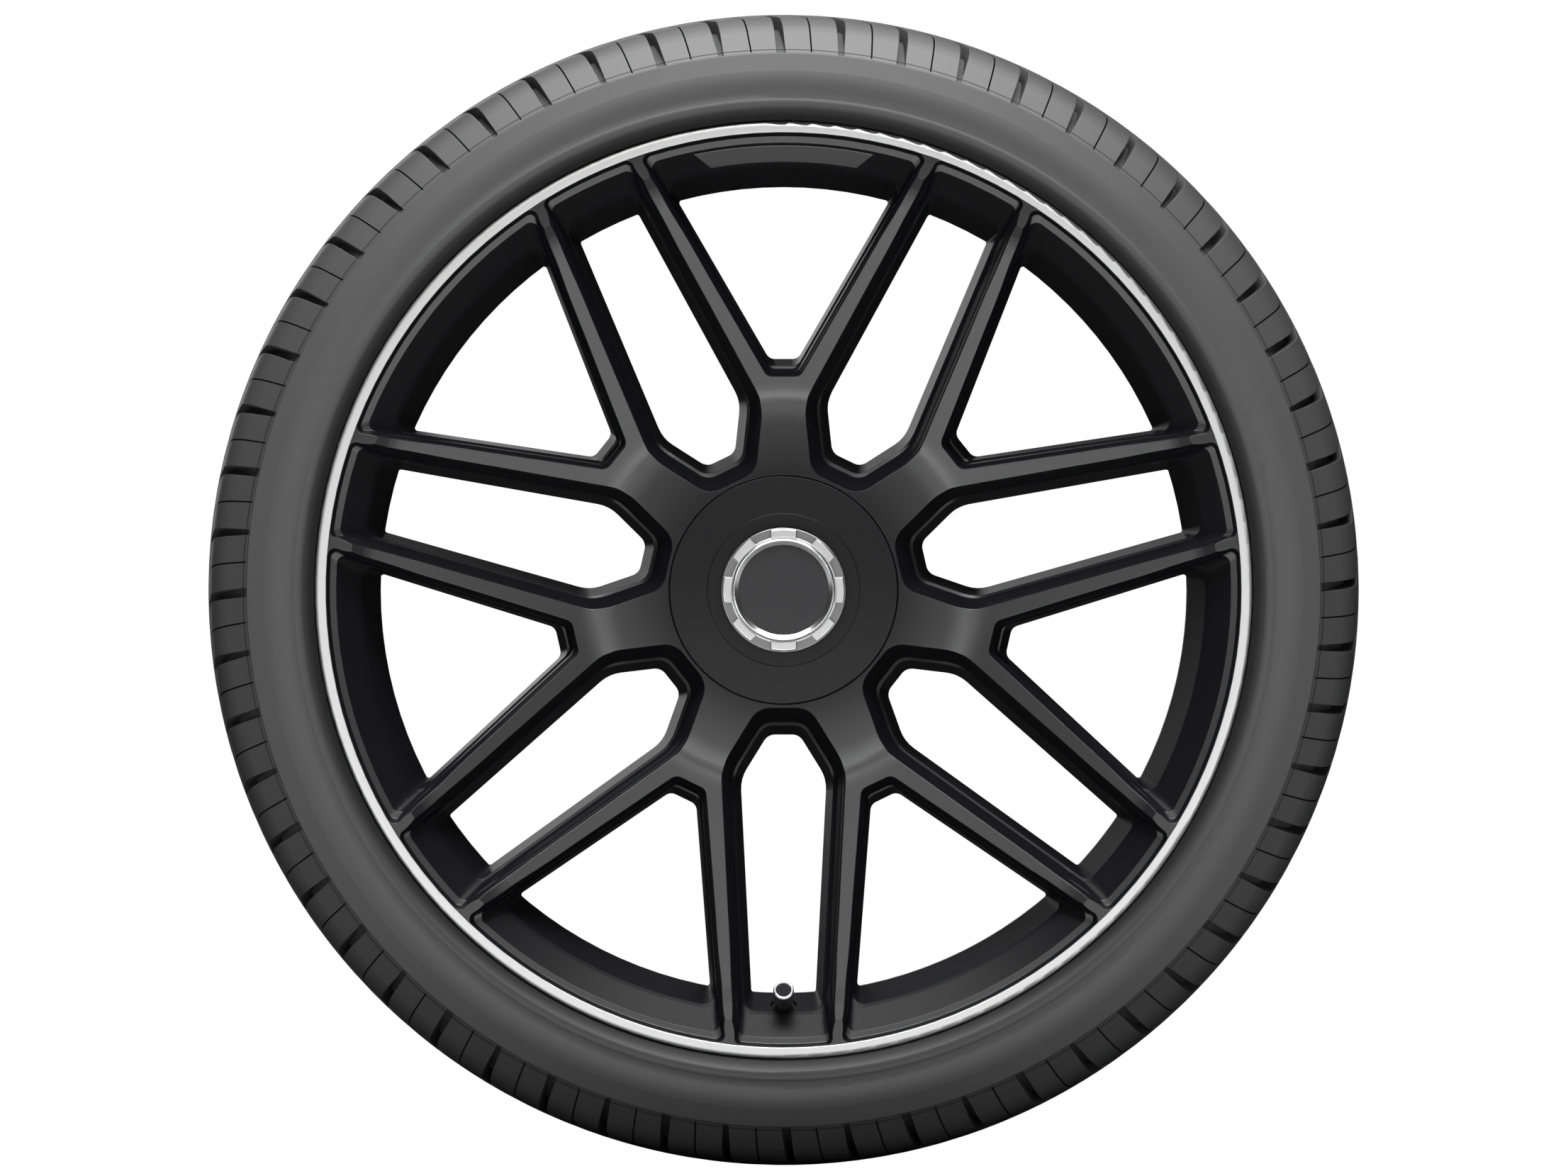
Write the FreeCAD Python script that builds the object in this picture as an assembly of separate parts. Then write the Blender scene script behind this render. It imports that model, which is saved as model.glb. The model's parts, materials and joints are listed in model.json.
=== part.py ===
"""Road wheel: a one-piece forged alloy rim with seven forked spokes, a low road tyre, a turn-lock
hub cover and a snap-in valve with its pressure sensor.

Millimetres. The origin is the wheel's centre, on the axle line and the rim's mid plane. +Y runs along
the axle towards the car, so the show face looks along -Y. +Z is up, and the valve hangs at the bottom.
Sections are drawn as (radius, out, corner): the distance from the axle, the distance outboard of the
mid plane, and the rounding of that corner.
"""
import FreeCAD
import Part
import math
import os

from FreeCAD import Vector

INCH = 25.4
ORIGIN = Vector(0, 0, 0)
AXLE = Vector(0, 1, 0)
TURN = 360.0

# Rim: a 10 J x 21 well-base rim
RIM_DIAMETER = 21 * INCH
RIM_WIDTH = 10 * INCH
FLANGE_HEIGHT = 17.3
FLANGE_THICKNESS = 12.5
FLANGE_ROOT_ROUND = 6.0
FLANGE_TOP_ROUND = 9.0
FLANGE_EDGE_ROUND = 2.5
BEAD_SEAT_LENGTH = 20.0
BEAD_SEAT_TAPER = 5.0
HUMP_HEIGHT = 1.0
HUMP_LENGTH = 3.0
WELL_DEPTH = 15.7
WELL_LENGTH = 48.0
WELL_RAMP = 34.0
BARREL_DROP = 4.2
RIM_WALL = 5.0
REAR_LIP_LENGTH = 27.0
REAR_LIP_THICKNESS = 10.5
BRIGHT_RING_WIDTH = 6.4
BRIGHT_RING_STEP = 2.2

# Hub
WHEEL_OFFSET = 35.0
PAD_RADIUS = 76.0
BORE_RADIUS = 33.3
BORE_LENGTH = 18.0
BORE_CHAMFER = 1.5
LUG_CHAMBER_RADIUS = 36.0
LUG_CHAMBER_LENGTH = 16.0
LIP_RADIUS = 27.0
LIP_THICKNESS = 6.0
NOSE_RADIUS = 42.0
SEAT_THICKNESS = 28.0
COVER_RADIUS = 69.5
BOLT_COUNT = 5
BOLT_CIRCLE = 112.0
BOLT_HOLE_RADIUS = 7.5
BALL_SEAT_RADIUS = 14.0
BALL_SEAT_MOUTH = 11.0
PAD_POCKET_DEPTH = 10.0
PAD_POCKET_RADIUS = 13.0

# Wheel face, in section
HUB_DISH = 46.3
HUB_DOME_FALL = 2.2
HUB_EDGE_RADIUS = 118.0
HUB_EDGE_BLEND = 25.0
SPOKE_THICKNESS = 39.0
SPOKE_END_LENGTH = 14.6
KNEE_LENGTH = 13.0
KNEE_DROP = 7.3
KNEE_BLEND = 60.0

# Spokes, in plan on the face
SPOKE_COUNT = 7
SLOT_HUB_RADIUS = 72.3
SLOT_HUB_HALF_WIDTH = 15.5
SLOT_WAIST_RADIUS = 108.0
SLOT_WAIST_HALF_WIDTH = 37.6
SLOT_RIM_HALF_WIDTH = 29.0
FORK_RADIUS = 130.3
FORK_STATION = 145.0
ARM_WIDTH_AT_FORK = 10.2
ARM_WIDTH_AT_RIM = 6.7
OPENING_RIM_GAP = 0.4

# Walls of the openings, from the face edge down: step in at the arms, at the hub end, at the rim, and depth
SLOT_WALL = (
    (-2.4, -2.4, -0.2, -2.4),
    (0.0, 0.0, 0.0, 0.8),
    (1.2, 2.0, 1.9, 4.2),
    (2.0, 3.2, 5.8, 5.6),
    (5.2, 8.2, 19.0, 14.0),
    (6.8, 10.4, 21.1, 15.0),
    (11.0, 16.0, 30.5, 37.0),
)
FORK_WALL = (
    (-2.4, -2.4, -0.2, -2.4),
    (0.0, 0.0, 0.0, 0.8),
    (1.2, 1.2, 1.9, 4.2),
    (2.0, 2.0, 5.8, 5.6),
    (3.3, 4.6, 19.0, 14.0),
    (4.2, 6.0, 21.1, 15.0),
    (6.3, 10.7, 30.5, 37.0),
)
RIM_CORNERS = (4.5, 4.5, 4.0, 5.0, 6.5, 6.5, 2.0)
SLOT_HUB_CORNER = 14.0
SLOT_WAIST_CORNER = 34.0
FORK_CORNER = 6.0
REAR_LEDGE = 0.6
RUN_OUT = 1.5

# Tyre: 285/30 R21
TYRE_WIDTH = 285.0
TYRE_ASPECT = 0.30
TYRE_SECTION = 290.0
TYRE_SEAT_GAP = 0.1
BEAD_WIDTH = 17.5
SIDEWALL_THICKNESS = 9.5
CROWN_THICKNESS = 14.5
CROWN_ROUND = 1500.0
CROWN_SLOPE = 0.07
SHOULDER_HALF_WIDTH = 122.0
SHOULDER_ROUND = 24.0
EDGE_LINE_RADIUS = 326.0
EDGE_LINE_STEP = 0.8
TREAD_DEPTH = 7.2
TREAD_PITCHES = 56
INNER_GROOVE_OUT = 27.0
INNER_GROOVE_WIDTH = 12.0
OUTER_GROOVE_OUT = 80.0
OUTER_GROOVE_WIDTH = 10.0
BLOCK_GROOVE_WIDTH = 5.4
BLOCK_GROOVE_SWEEP = 13.0
NOTCH_WIDTH = 3.4

# Hub cover and its turn lock
COVER_GAP = 0.3
COVER_WALL = 3.0
COVER_SKIRT = 1.9
COVER_RING_RADIUS = 46.7
COVER_RING_DEPTH = 0.4
GASKET_THICKNESS = 1.5
SEAT_GAP = 0.02
RUNNING_GAP = 0.05
MOVING_GAP = 0.4
CROWN_RADIUS = 37.9
CROWN_BORE = 31.2
CROWN_BASE = 6.0
CROWN_TOOTH_HEIGHT = 4.2
CROWN_TOOTH_COUNT = 8
CROWN_TOOTH_WIDTH = 15.5
CROWN_TOOTH_INSET = 0.6
CROWN_COLLAR = 1.3
BEZEL_BORE = 27.4
BEZEL_RISE = 1.1
DISC_DOME = 0.6
SPINDLE_RADIUS = 20.0
SPINDLE_BORE = 15.0
SPINDLE_FLANGE = 2.8
LUG_COUNT = 3
LUG_RADIUS = 31.5
LUG_THICKNESS = 6.0
LUG_ANGLE = 38.0
LUG_SLOT_ANGLE = 44.0
CLIP_THICKNESS = 1.2
CLIP_RADIUS = 24.0
CLIP_MOUTH = 60.0

# Valve and sensor
VALVE_TILT = 25.0
VALVE_HOLE_RADIUS = 5.75
VALVE_WALL = 4.6
VALVE_BORE_RADIUS = 8.0
VALVE_WELL_SHARE = 0.5
VALVE_BODY_RADIUS = 5.35
VALVE_BODY_LENGTH = 25.0
VALVE_BULB_RADIUS = 8.4
VALVE_BULB_LENGTH = 6.5
VALVE_SPOT_GAP = 0.4
VALVE_SPOT_DEPTH = 0.5
STEM_RADIUS = 3.85
STEM_LENGTH = 33.0
STEM_BORE = 2.6
CORE_LENGTH = 19.0
PIN_RADIUS = 0.65
PIN_PROUD = 0.9
SPRING_WIRE = 0.22
SPRING_TURNS = 5
CAP_RADIUS = 6.25
CAP_LENGTH = 13.0
CAP_TOP = 2.2
CAP_DISC_RADIUS = 4.6
SENSOR_WIDTH = 27.0
SENSOR_LENGTH = 40.0
SENSOR_HEIGHT = 16.0
SENSOR_GAP = 0.8
SCREW_RADIUS = 2.0
SCREW_HEAD_RADIUS = 3.6

# Sizes that follow from the ones above
seat_r = RIM_DIAMETER / 2
half_w = RIM_WIDTH / 2
flange_r = seat_r + FLANGE_HEIGHT
front = half_w + FLANGE_THICKNESS
seat_end = half_w - BEAD_SEAT_LENGTH
seat_end_r = seat_r - BEAD_SEAT_LENGTH * math.tan(math.radians(BEAD_SEAT_TAPER))
hump_r = seat_end_r + HUMP_HEIGHT
hump_foot = seat_end - 2 * HUMP_LENGTH
hump_foot_r = seat_end_r - HUMP_HEIGHT / 2
well_r = seat_r - WELL_DEPTH
well_wall_rise = (hump_foot_r - well_r) * math.tan(math.radians(VALVE_TILT))
well_front = hump_foot - well_wall_rise
well_rear = well_front - WELL_LENGTH
ramp_end = well_rear - WELL_RAMP
barrel_r = seat_r - BARREL_DROP
well_in = well_r - RIM_WALL
barrel_in = barrel_r - RIM_WALL
ring_in = flange_r - BRIGHT_RING_WIDTH
spoke_end = front - BRIGHT_RING_STEP
knee_top_r = ring_in - SPOKE_END_LENGTH
knee_r = knee_top_r - KNEE_LENGTH
knee_out = spoke_end - KNEE_DROP
hub_out = front - HUB_DISH
hub_edge_out = hub_out - HUB_DOME_FALL
seat_out = WHEEL_OFFSET + SEAT_THICKNESS
chamber_out = WHEEL_OFFSET + BORE_LENGTH
lip_out = chamber_out + LUG_CHAMBER_LENGTH
nose_out = lip_out + LIP_THICKNESS
recess_r = COVER_RADIUS + COVER_GAP
tyre_r = seat_r + TYRE_WIDTH * TYRE_ASPECT


def rounded(points, lift):
    """Closed wire through (x, y, corner) points; a corner too big for its walls is eased to fit them."""
    count = len(points)
    reach = []
    turns = []
    for i in range(count):
        x, y, corner = points[i]
        ax, ay = points[i - 1][0] - x, points[i - 1][1] - y
        bx, by = points[(i + 1) % count][0] - x, points[(i + 1) % count][1] - y
        la, lb = math.hypot(ax, ay), math.hypot(bx, by)
        ua, ub = (ax / la, ay / la), (bx / lb, by / lb)
        dot = max(-1.0, min(1.0, ua[0] * ub[0] + ua[1] * ub[1]))
        half = max(0.5 * math.acos(dot), 1e-3)
        turns.append((ua, ub, half, lb))
        reach.append(corner / math.tan(half))
    eased = list(reach)
    for i in range(count):
        j = (i + 1) % count
        total = reach[i] + reach[j]
        limit = 0.98 * turns[i][3]
        if total > limit:
            eased[i] = min(eased[i], reach[i] * limit / total)
            eased[j] = min(eased[j], reach[j] * limit / total)
    spans = []
    for i in range(count):
        x, y = points[i][:2]
        ua, ub, half, _ = turns[i]
        first = (x + ua[0] * eased[i], y + ua[1] * eased[i])
        last = (x + ub[0] * eased[i], y + ub[1] * eased[i])
        radius = eased[i] * math.tan(half)
        bx, by = ua[0] + ub[0], ua[1] + ub[1]
        size = math.hypot(bx, by)
        step = radius / math.sin(half) - radius
        middle = (x + bx / size * step, y + by / size * step) if size > 1e-9 else (x, y)
        spans.append((first, middle, last, eased[i]))
    edges = []
    for i in range(count):
        first, middle, last, size = spans[i]
        if size > 1e-6:
            edges.append(Part.Arc(lift(*first), lift(*middle), lift(*last)).toShape())
        following = spans[(i + 1) % count][0]
        if math.hypot(following[0] - last[0], following[1] - last[1]) > 1e-6:
            edges.append(Part.LineSegment(lift(*last), lift(*following)).toShape())
    return Part.Wire(edges)


def section(r, out):
    """A section point on the wheel, in the half plane through +X."""
    return Vector(r, -out, 0)


def solid_of(shape):
    """The one solid of a shape, turned the right way out."""
    body = shape.Solids[0]
    if body.Volume < 0:
        body.reverse()
    return body


def ring(points, angle=TURN):
    """Solid of revolution about the axle."""
    return solid_of(Part.Face(rounded(points, section)).revolve(ORIGIN, AXLE, angle))


def turned(shape, angle):
    """A copy turned about the axle."""
    copy = shape.copy()
    copy.rotate(ORIGIN, AXLE, angle)
    return copy


def around(shape, count, start=0.0):
    """Copies spread evenly about the axle."""
    return [turned(shape, start + TURN * i / count) for i in range(count)]


def face_out(r):
    """Outboard distance of the wheel face at a radius."""
    knots = [(0.0, hub_out), (recess_r, hub_out), (HUB_EDGE_RADIUS, hub_edge_out)]
    knots += [(knee_r, knee_out), (knee_top_r, spoke_end), (2 * flange_r, spoke_end)]
    for (r0, out0), (r1, out1) in zip(knots, knots[1:]):
        if r <= r1:
            return out0 + (out1 - out0) * (r - r0) / (r1 - r0)
    return spoke_end


def wheel_blank(angle):
    """The turned forging before the spokes are cut, over an angle."""
    back_out = face_out(well_in) - SPOKE_THICKNESS
    points = [
        (BORE_RADIUS + BORE_CHAMFER, WHEEL_OFFSET, 0),
        (PAD_RADIUS, WHEEL_OFFSET, 0),
        (PAD_RADIUS + 3, WHEEL_OFFSET + 4, 0),
        (well_in, back_out, 0),
        (well_in, well_rear, 20),
        (barrel_in, ramp_end, 20),
        (barrel_in, -front + REAR_LIP_LENGTH, 12),
        (flange_r - REAR_LIP_THICKNESS, -front, 0),
        (flange_r, -front, FLANGE_EDGE_ROUND),
        (flange_r, -half_w, FLANGE_TOP_ROUND),
        (seat_r, -half_w, FLANGE_ROOT_ROUND),
        (seat_end_r, -seat_end, 0),
        (hump_r, -seat_end + HUMP_LENGTH, 0),
        (hump_foot_r, -hump_foot, 0),
        (barrel_r, -hump_foot + HUMP_LENGTH, 0),
        (barrel_r, ramp_end, 0),
        (well_r, well_rear, 0),
        (well_r, well_front, 0),
        (hump_foot_r, hump_foot, 0),
        (hump_r, seat_end - HUMP_LENGTH, 0),
        (seat_end_r, seat_end, 0),
        (seat_r, half_w, FLANGE_ROOT_ROUND),
        (flange_r, half_w, FLANGE_TOP_ROUND),
        (flange_r, front, FLANGE_EDGE_ROUND),
        (ring_in, front, 0),
        (ring_in, spoke_end, 0),
        (knee_top_r, spoke_end, 0),
        (knee_r, knee_out, KNEE_BLEND),
        (HUB_EDGE_RADIUS, hub_edge_out, HUB_EDGE_BLEND),
        (recess_r, hub_out, 0.6),
        (recess_r, seat_out, 0),
        (NOSE_RADIUS, seat_out, 0),
        (NOSE_RADIUS, nose_out, 1),
        (LIP_RADIUS, nose_out, 0),
        (LIP_RADIUS, lip_out, 0),
        (LUG_CHAMBER_RADIUS, lip_out, 0),
        (LUG_CHAMBER_RADIUS, chamber_out, 0),
        (BORE_RADIUS, chamber_out, 0),
        (BORE_RADIUS, WHEEL_OFFSET + BORE_CHAMFER, 0),
    ]
    return ring(points, angle)


class Plan:
    """Half outline of an opening in plan: straight walls from the hub end to a rim arc, rounded between."""

    def __init__(self, lines, corners, rim_r):
        self.lines = lines
        self.corners = corners
        self.rim_r = rim_r

    def edges(self):
        """Plan edges in order along the half outline, as lists of points, and the rim arc last."""
        start = (0.0, self.lines[0][0][1])
        edges = []
        for i in range(len(self.lines) - 1):
            (p0, d0), (p1, d1) = self.lines[i], self.lines[i + 1]
            centre, a, b = corner_arc(p0, d0, p1, d1, self.corners[i])
            edges.append(spread(start, a))
            edges.append(arc_points(centre, a, b))
            start = b
        p, d = self.lines[-1]
        centre, a, b = rim_corner(p, d, self.rim_r, self.corners[-1])
        edges.append(spread(start, a))
        edges.append(arc_points(centre, a, b))
        edges.append(arc_points((0.0, 0.0), b, (-b[0], b[1])))
        return edges


SAMPLES = 9


def shares():
    """Sample places along an edge, closer together at its ends."""
    return [0.5 - 0.5 * math.cos(math.pi * i / (SAMPLES - 1)) for i in range(SAMPLES)]


def spread(a, b):
    return [(a[0] + (b[0] - a[0]) * t, a[1] + (b[1] - a[1]) * t) for t in shares()]


def arc_points(centre, a, b):
    radius = math.hypot(a[0] - centre[0], a[1] - centre[1])
    first = math.atan2(a[1] - centre[1], a[0] - centre[0])
    sweep = math.atan2(b[1] - centre[1], b[0] - centre[0]) - first
    sweep = (sweep + math.pi) % (2 * math.pi) - math.pi
    angles = [first + sweep * t for t in shares()]
    return [(centre[0] + radius * math.cos(t), centre[1] + radius * math.sin(t)) for t in angles]


def inward(d):
    """Left-hand normal of a wall running from the hub end to the rim: it points into the opening."""
    return (-d[1], d[0])


def corner_arc(p0, d0, p1, d1, radius):
    """Arc tangent to two walls: its centre and its ends."""
    n0, n1 = inward(d0), inward(d1)
    q0 = (p0[0] + n0[0] * radius, p0[1] + n0[1] * radius)
    q1 = (p1[0] + n1[0] * radius, p1[1] + n1[1] * radius)
    cross = d0[0] * d1[1] - d0[1] * d1[0]
    t = ((q1[0] - q0[0]) * d1[1] - (q1[1] - q0[1]) * d1[0]) / cross
    centre = (q0[0] + d0[0] * t, q0[1] + d0[1] * t)
    a = (centre[0] - n0[0] * radius, centre[1] - n0[1] * radius)
    b = (centre[0] - n1[0] * radius, centre[1] - n1[1] * radius)
    return centre, a, b


def rim_corner(p, d, rim_r, radius):
    """Arc tangent to a wall and to the rim arc about the axle."""
    n = inward(d)
    q = (p[0] + n[0] * radius, p[1] + n[1] * radius)
    along = q[0] * d[0] + q[1] * d[1]
    gap = q[0] ** 2 + q[1] ** 2 - (rim_r - radius) ** 2
    t = -along + math.sqrt(along ** 2 - gap)
    centre = (q[0] + d[0] * t, q[1] + d[1] * t)
    a = (centre[0] - n[0] * radius, centre[1] - n[1] * radius)
    size = math.hypot(centre[0], centre[1])
    b = (centre[0] * rim_r / size, centre[1] * rim_r / size)
    return centre, a, b


def wall(a, b, step):
    """A wall line from a to b, moved into the opening by a step: a point on it and its direction."""
    size = math.hypot(b[0] - a[0], b[1] - a[1])
    d = ((b[0] - a[0]) / size, (b[1] - a[1]) / size)
    n = inward(d)
    return ((a[0] + n[0] * step, a[1] + n[1] * step), d)


opening_rim = ring_in - OPENING_RIM_GAP
slot_rim_v = math.sqrt(opening_rim ** 2 - SLOT_RIM_HALF_WIDTH ** 2)
slot_lean = (SLOT_WAIST_HALF_WIDTH - SLOT_RIM_HALF_WIDTH) / (slot_rim_v - SLOT_WAIST_RADIUS)
half_pitch = math.pi / SPOKE_COUNT


def rim_at(walls, stage):
    """Rim radius of an opening at one step of its wall; the last step stays just inside the barrel."""
    if stage == len(walls) - 1:
        return well_in - REAR_LEDGE
    return opening_rim - walls[stage][2]


def slot_half_width(v):
    return SLOT_WAIST_HALF_WIDTH - slot_lean * (v - SLOT_WAIST_RADIUS)


def in_fork(u, v):
    """A point given beside the slot's centre line, moved to the frame of the next fork opening."""
    return (v * math.sin(half_pitch) - u * math.cos(half_pitch), v * math.cos(half_pitch) + u * math.sin(half_pitch))


def slot_plan(stage):
    """Outline of a slot between two spokes at one step of its wall."""
    side, hub = SLOT_WALL[stage][:2]
    flat = wall((0.0, SLOT_HUB_RADIUS), (1.0, SLOT_HUB_RADIUS), hub)
    hub_point = (SLOT_HUB_HALF_WIDTH, SLOT_HUB_RADIUS)
    waist = (SLOT_WAIST_HALF_WIDTH, SLOT_WAIST_RADIUS)
    cheek = wall(hub_point, waist, 0.5 * (side + hub))
    arm = wall(waist, (SLOT_RIM_HALF_WIDTH, slot_rim_v), side)
    corners = (SLOT_HUB_CORNER - 0.4 * hub, SLOT_WAIST_CORNER - side, RIM_CORNERS[stage])
    return Plan((flat, cheek, arm), corners, rim_at(SLOT_WALL, stage))


def fork_plan(stage):
    """Outline of the opening inside a fork at one step of its wall."""
    side, hub = FORK_WALL[stage][:2]
    flat = wall((0.0, FORK_RADIUS), (1.0, FORK_RADIUS), hub)
    near = in_fork(slot_half_width(FORK_STATION) + ARM_WIDTH_AT_FORK, FORK_STATION)
    far = in_fork(SLOT_RIM_HALF_WIDTH + ARM_WIDTH_AT_RIM, slot_rim_v)
    arm = wall(near, far, side)
    return Plan((flat, arm), (FORK_CORNER, RIM_CORNERS[stage]), rim_at(FORK_WALL, stage))


def lifted_edges(plan, out):
    """Closed loop of edges over a plan outline, each a curve lifted to the height the rule gives."""
    half = plan.edges()
    mirrored = [[(-u, v) for u, v in reversed(edge)] for edge in reversed(half[1:-1])]
    flat = spread(mirrored[-1][-1], half[1][0])
    edges = []
    for edge in [flat] + half[1:] + mirrored:
        points = [Vector(u, -out(math.hypot(u, v)), v) for u, v in edge]
        curve = Part.BSplineCurve()
        curve.interpolate(Points=points, Parameters=shares())
        edges.append(curve.toShape())
    return edges


def opening_tool(plan_at, walls):
    """Cutter for one opening: flared at the face edge, stepped below it, with a tapered run-out behind."""
    above = lifted_edges(plan_at(0), lambda r: front + 10)
    loops = [above]
    for stage, step in enumerate(walls):
        loops.append(lifted_edges(plan_at(stage), lambda r, d=step[3]: face_out(r) - d))
    last = plan_at(len(walls) - 1)
    last.rim_r -= RUN_OUT
    below = lifted_edges(last, lambda r: WHEEL_OFFSET - 8)
    loops.append(below)
    faces = [Part.Face(Part.Wire(above)), Part.Face(Part.Wire(below))]
    for upper, lower in zip(loops, loops[1:]):
        faces += [Part.makeRuledSurface(a, b) for a, b in zip(upper, lower)]
    shell = Part.makeShell(faces)
    shell.sewShape()
    return solid_of(Part.Solid(Part.Shell(shell.Faces)))


def post(r, start, stop, centre_r=0.0):
    """Cylinder along the axle between two outboard distances, centred at a radius straight up."""
    return Part.makeCylinder(r, stop - start, Vector(0, -start, centre_r), Vector(0, -1, 0))


def sector(r, start, stop, angle):
    """Wedge of a disc about the axle, centred straight up."""
    wedge = ring([(0, start, 0), (r, start, 0), (r, stop, 0), (0, stop, 0)], angle)
    return turned(wedge, -90.0 - angle / 2)


tilt = math.radians(VALVE_TILT)
valve_dir = Vector(0, -math.cos(tilt), math.sin(tilt))
valve_r = well_r + VALVE_WELL_SHARE * (hump_foot_r - well_r)
valve_out = well_front + (valve_r - well_r) * math.tan(tilt)
valve_foot = Vector(0, -valve_out, -valve_r) + valve_dir * VALVE_SPOT_DEPTH


def on_valve(points):
    """Solid turned about the valve's axis; points are (radius, distance outward from the rim wall, corner)."""
    wire = rounded(points, lambda r, t: Vector(r, 0, t))
    body = solid_of(Part.Face(wire).revolve(ORIGIN, Vector(0, 0, 1), TURN))
    body.Placement = FreeCAD.Placement(valve_foot, FreeCAD.Rotation(Vector(0, 0, 1), valve_dir))
    return body


def forged_wheel():
    fork = opening_tool(fork_plan, FORK_WALL)
    slot = opening_tool(slot_plan, SLOT_WALL)
    body = wheel_blank(TURN).cut(around(fork, SPOKE_COUNT) + around(slot, SPOKE_COUNT, TURN / 2))
    seat_lift = math.sqrt(BALL_SEAT_RADIUS ** 2 - BALL_SEAT_MOUTH ** 2)
    hole = post(BOLT_HOLE_RADIUS, WHEEL_OFFSET - 1, seat_out + 1, BOLT_CIRCLE / 2)
    seat = Part.makeSphere(BALL_SEAT_RADIUS, Vector(0, -seat_out - seat_lift, BOLT_CIRCLE / 2))
    pocket_r = BOLT_CIRCLE / 2
    pocket = post(PAD_POCKET_RADIUS, WHEEL_OFFSET - 1, WHEEL_OFFSET + PAD_POCKET_DEPTH, pocket_r)
    lug_slot = sector(LUG_RADIUS + MOVING_GAP, lip_out - 1, nose_out + 1, LUG_SLOT_ANGLE)
    tools = around(hole, BOLT_COUNT) + around(seat, BOLT_COUNT)
    tools += around(pocket, BOLT_COUNT, 180.0 / BOLT_COUNT)
    tools += around(lug_slot, LUG_COUNT, 180.0 / LUG_COUNT)
    tools.append(on_valve([(0, -5, 0), (VALVE_HOLE_RADIUS, -5, 0), (VALVE_HOLE_RADIUS, 30, 0), (0, 30, 0)]))
    spot = VALVE_BULB_RADIUS + VALVE_SPOT_GAP
    tools.append(on_valve([(0, -14, 0), (spot, -14, 0), (spot, 0, 0), (0, 0, 0)]))
    bore = VALVE_BORE_RADIUS
    tools.append(on_valve([(0, VALVE_WALL, 0), (bore, VALVE_WALL, 0), (bore, 40, 0), (0, 40, 0)]))
    return solid_of(body.cut(tools))


def tyre_points():
    """Section of the tyre without its tread pattern."""
    gap = TYRE_SEAT_GAP
    half_section = TYRE_SECTION / 2
    apex = tyre_r + CROWN_ROUND * (1 / math.cos(CROWN_SLOPE) - 1)
    shoulder = apex - SHOULDER_HALF_WIDTH * math.tan(CROWN_SLOPE)
    inner = half_section - SIDEWALL_THICKNESS
    toe = half_w - BEAD_WIDTH
    toe_r = seat_r - BEAD_WIDTH * math.tan(math.radians(BEAD_SEAT_TAPER))
    mid_r = 0.5 * (flange_r + EDGE_LINE_RADIUS)
    side = [
        (toe_r + gap + 8, toe - 1.5, 4),
        (toe_r + gap, toe, 1.5),
        (seat_r + gap, half_w - gap, FLANGE_ROOT_ROUND + gap),
        (flange_r + gap, half_w - gap, FLANGE_TOP_ROUND - gap),
        (flange_r + 0.7, front - 1.5, 1.5),
        (flange_r + 8.5, half_section - 0.4, 2.5),
        (flange_r + 12.5, half_section - 0.2, 3),
        (flange_r + 16.5, half_section - 1.5, 9),
        (mid_r + 4, half_section + 0.4, 22),
        (EDGE_LINE_RADIUS - 0.6, half_section - 5.2, 0.3),
        (EDGE_LINE_RADIUS, half_section - 5.2 - EDGE_LINE_STEP, 0.3),
        (shoulder, SHOULDER_HALF_WIDTH, SHOULDER_ROUND),
    ]
    inside = [
        (tyre_r - CROWN_THICKNESS, SHOULDER_HALF_WIDTH - 22, 18),
        (EDGE_LINE_RADIUS - 2, inner - 4, 26),
        (mid_r - 2, inner, 22),
    ]
    near = inside + side
    far = [(r, -out, corner) for r, out, corner in reversed(near)]
    return near + [(apex, 0, CROWN_ROUND)] + far


def tread_shell():
    """The tyre's outer layer, as deep as the tread is cut."""
    apex = tyre_r - TREAD_DEPTH
    half_section = TYRE_SECTION / 2
    low = EDGE_LINE_RADIUS - 0.3
    outside = tyre_r + 20
    drop = SHOULDER_HALF_WIDTH ** 2 / (2 * CROWN_ROUND)
    points = [
        (apex, 0, 0),
        (apex - drop, SHOULDER_HALF_WIDTH - 10, 20),
        (low, half_section - 7.2, 0),
        (low, half_section + 20, 0),
        (outside, half_section + 20, 0),
        (outside, 0, 0),
    ]
    return turned(ring(points, 40.0), -110.0)


def block_groove(shell, closed):
    """Curved groove across a shoulder rib, seen at the top of the tyre; a closed one tapers at its outer end."""
    start = OUTER_GROOVE_OUT
    stop = TYRE_SECTION / 2 + 6
    width = BLOCK_GROOVE_WIDTH
    foot = 0.4 if closed else width
    low = EDGE_LINE_RADIUS - 10

    def spot(x, out):
        return Vector(x, -out, low)

    middle = start + 0.62 * (stop - start)
    bow = 0.3 * BLOCK_GROOVE_SWEEP
    sweep = BLOCK_GROOVE_SWEEP
    left = Part.Arc(spot(-foot / 2, stop), spot(-bow - 0.45 * width, middle), spot(-sweep - 0.4 * width, start))
    right = Part.Arc(spot(-sweep + 0.4 * width, start), spot(-bow + 0.55 * width, middle), spot(foot / 2, stop))
    head = Part.LineSegment(spot(-sweep - 0.4 * width, start), spot(-sweep + 0.4 * width, start))
    tail = Part.LineSegment(spot(foot / 2, stop), spot(-foot / 2, stop))
    face = Part.Face(Part.Wire([left.toShape(), head.toShape(), right.toShape(), tail.toShape()]))
    return solid_of(face.extrude(Vector(0, 0, tyre_r - low + 10)).common(shell))


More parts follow.
